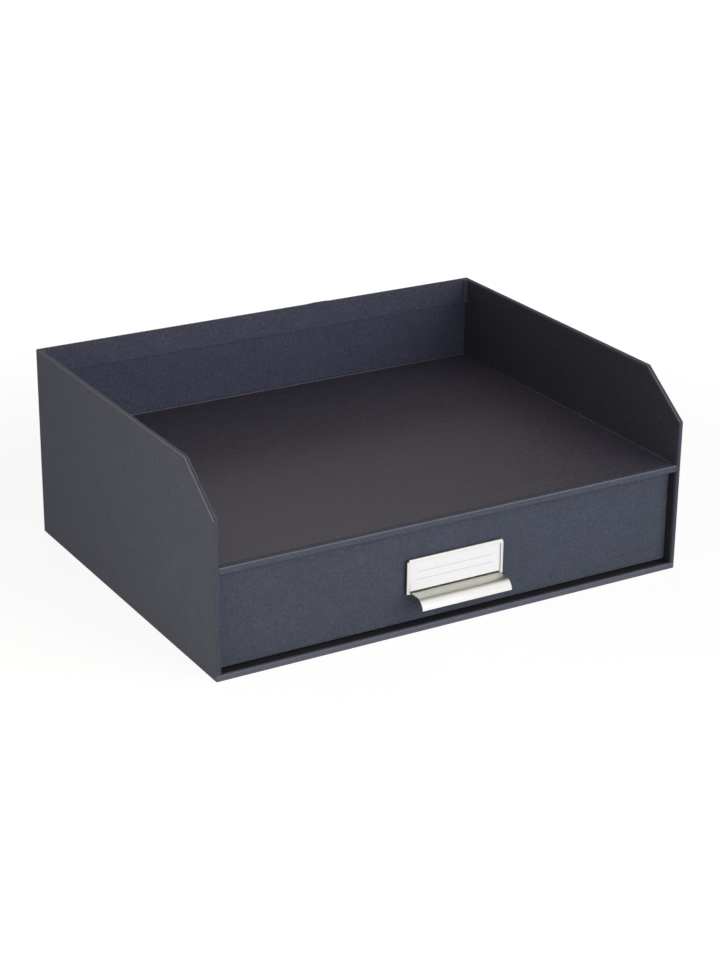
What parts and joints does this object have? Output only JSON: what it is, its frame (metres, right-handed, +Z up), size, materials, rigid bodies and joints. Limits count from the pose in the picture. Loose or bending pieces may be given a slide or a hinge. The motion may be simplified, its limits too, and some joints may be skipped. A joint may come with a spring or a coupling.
{
  "type": "document organizer",
  "caption": "Desk document organizer of paper-covered board: an open-fronted tray with cut-back side walls over a full-width drawer with a metal label frame and curved pull.",
  "frame": {"origin": "middle of the case's underside, on the surface that it stands on", "axes": "+X to the right along the width, -Y out of the open front, the way that the drawer pulls, +Z up"},
  "size_m": [0.33, 0.2635, 0.1279],
  "materials": {
    "greyboard": "solid greyboard, uncoated",
    "cover_paper": "dyed graphite cover paper, matt, fine fibre",
    "edge_paper": "dyed mauve-grey cover paper, matt",
    "liner_paper": "dyed dark grey liner paper, matt",
    "label_metal": "satin nickel-plated sheet steel",
    "label_card": "white card, smooth",
    "rivet_metal": "nickel-plated steel"
  },
  "bodies": {
    "case": {"base_board": "greyboard", "left_side_board": "greyboard", "right_side_board": "greyboard", "back_board": "greyboard", "shelf_board": "greyboard", "left_support_card": "greyboard", "right_support_card": "greyboard", "back_support_card": "greyboard", "left_wrap_sheet": "cover_paper", "right_wrap_sheet": "cover_paper", "base_cover_paper": "edge_paper", "shelf_wrap_paper": "edge_paper", "bay_floor_liner": "liner_paper", "left_wall_liner": "liner_paper", "right_wall_liner": "liner_paper", "back_wall_liner": "liner_paper", "tray_floor_liner": "liner_paper", "left_support_paper": "liner_paper", "right_support_paper": "liner_paper", "back_support_paper": "liner_paper"},
    "drawer": {"drawer_base_board": "greyboard", "drawer_front_board": "greyboard", "drawer_left_board": "greyboard", "drawer_right_board": "greyboard", "drawer_back_board": "greyboard", "drawer_front_wrap": "cover_paper", "drawer_body_wrap": "cover_paper", "drawer_base_paper": "cover_paper", "drawer_floor_liner": "liner_paper", "drawer_front_liner": "liner_paper", "drawer_back_liner": "liner_paper", "drawer_left_liner": "liner_paper", "drawer_right_liner": "liner_paper", "label_pull": "label_metal", "label_card": "label_card", "pull_rivets": "rivet_metal", "rivet_washers": "rivet_metal"}
  },
  "joints": [
    {"name": "drawer_slide", "type": "slide", "parent": "case", "child": "drawer", "axis": [0, -1, 0], "range_m": [0, 0.248]}
  ]
}
